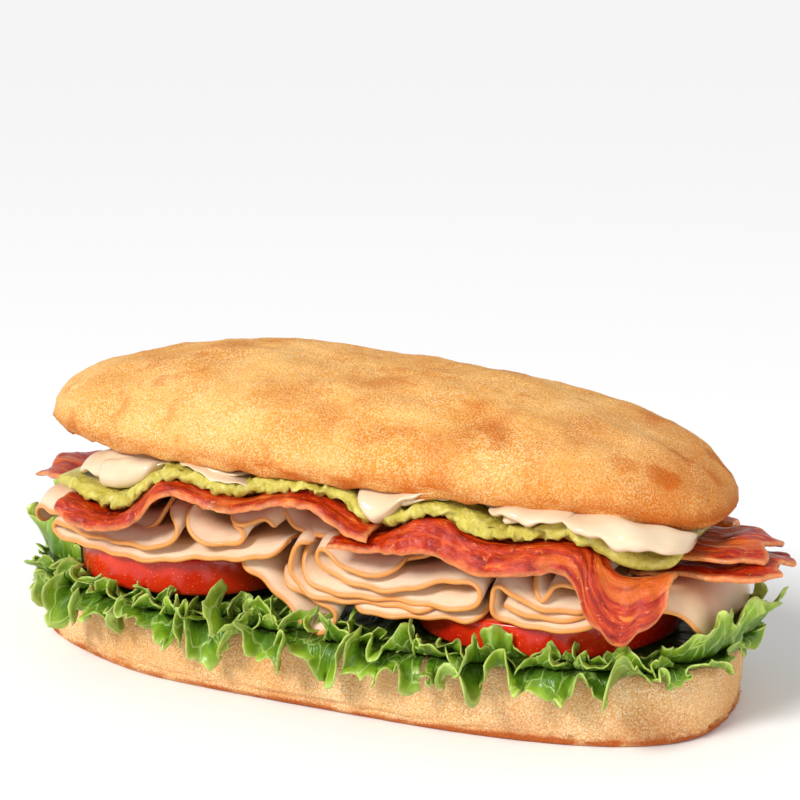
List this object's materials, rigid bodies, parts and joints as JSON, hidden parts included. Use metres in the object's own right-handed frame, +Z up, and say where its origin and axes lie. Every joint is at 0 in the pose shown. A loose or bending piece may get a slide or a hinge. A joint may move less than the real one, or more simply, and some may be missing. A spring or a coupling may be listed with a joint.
{
  "type": "club sandwich",
  "caption": "Long filled roll sandwich: soft top and bottom bread around ruffled lettuce, tomato slices, folded turkey, bacon rashers, mashed avocado and mayonnaise.",
  "frame": {"origin": "middle of the bounding box at the level the roll rests on", "axes": "+X along the roll, +Z up, -Y towards the side with the fillings on show"},
  "size_m": [0.246, 0.1256, 0.094],
  "materials": {
    "crust_top": "golden baked crust with a floury bloom, matt",
    "crust_bottom": "pale golden baked crust, matt",
    "lettuce_leaf": "fresh ruffled leaf, slight sheen",
    "tomato_flesh": "wet ripe tomato, glossy",
    "turkey_slice": "moist cooked poultry slice, soft sheen",
    "bacon_rasher": "fried rasher, oily gloss",
    "avocado_mash": "coarse wet mash, soft gloss",
    "mayonnaise": "smooth thick sauce, glossy"
  },
  "bodies": {
    "root": {"avocado_mash": "avocado_mash", "bacon_back_left": "bacon_rasher", "bacon_back_right": "bacon_rasher", "bacon_end_right": "bacon_rasher", "bacon_front_left": "bacon_rasher", "bacon_front_right": "bacon_rasher", "bacon_middle_left": "bacon_rasher", "bacon_middle_right": "bacon_rasher", "bun_bottom": "crust_bottom", "bun_top": "crust_top", "lettuce_left": "lettuce_leaf", "lettuce_middle": "lettuce_leaf", "lettuce_right": "lettuce_leaf", "mayonnaise": "mayonnaise", "tomato_left": "tomato_flesh", "tomato_right": "tomato_flesh", "turkey_big_fold": "turkey_slice", "turkey_curl": "turkey_slice", "turkey_end_drape": "turkey_slice", "turkey_end_upright": "turkey_slice", "turkey_hanging_fold": "turkey_slice", "turkey_inner_fold": "turkey_slice", "turkey_inner_left": "turkey_slice", "turkey_inner_right": "turkey_slice", "turkey_long_fold": "turkey_slice", "turkey_low_slice": "turkey_slice", "turkey_outer_wrap": "turkey_slice", "turkey_side_fold": "turkey_slice", "turkey_side_loop": "turkey_slice", "turkey_small_roll": "turkey_slice", "turkey_tube": "turkey_slice"}
  },
  "joints": []
}
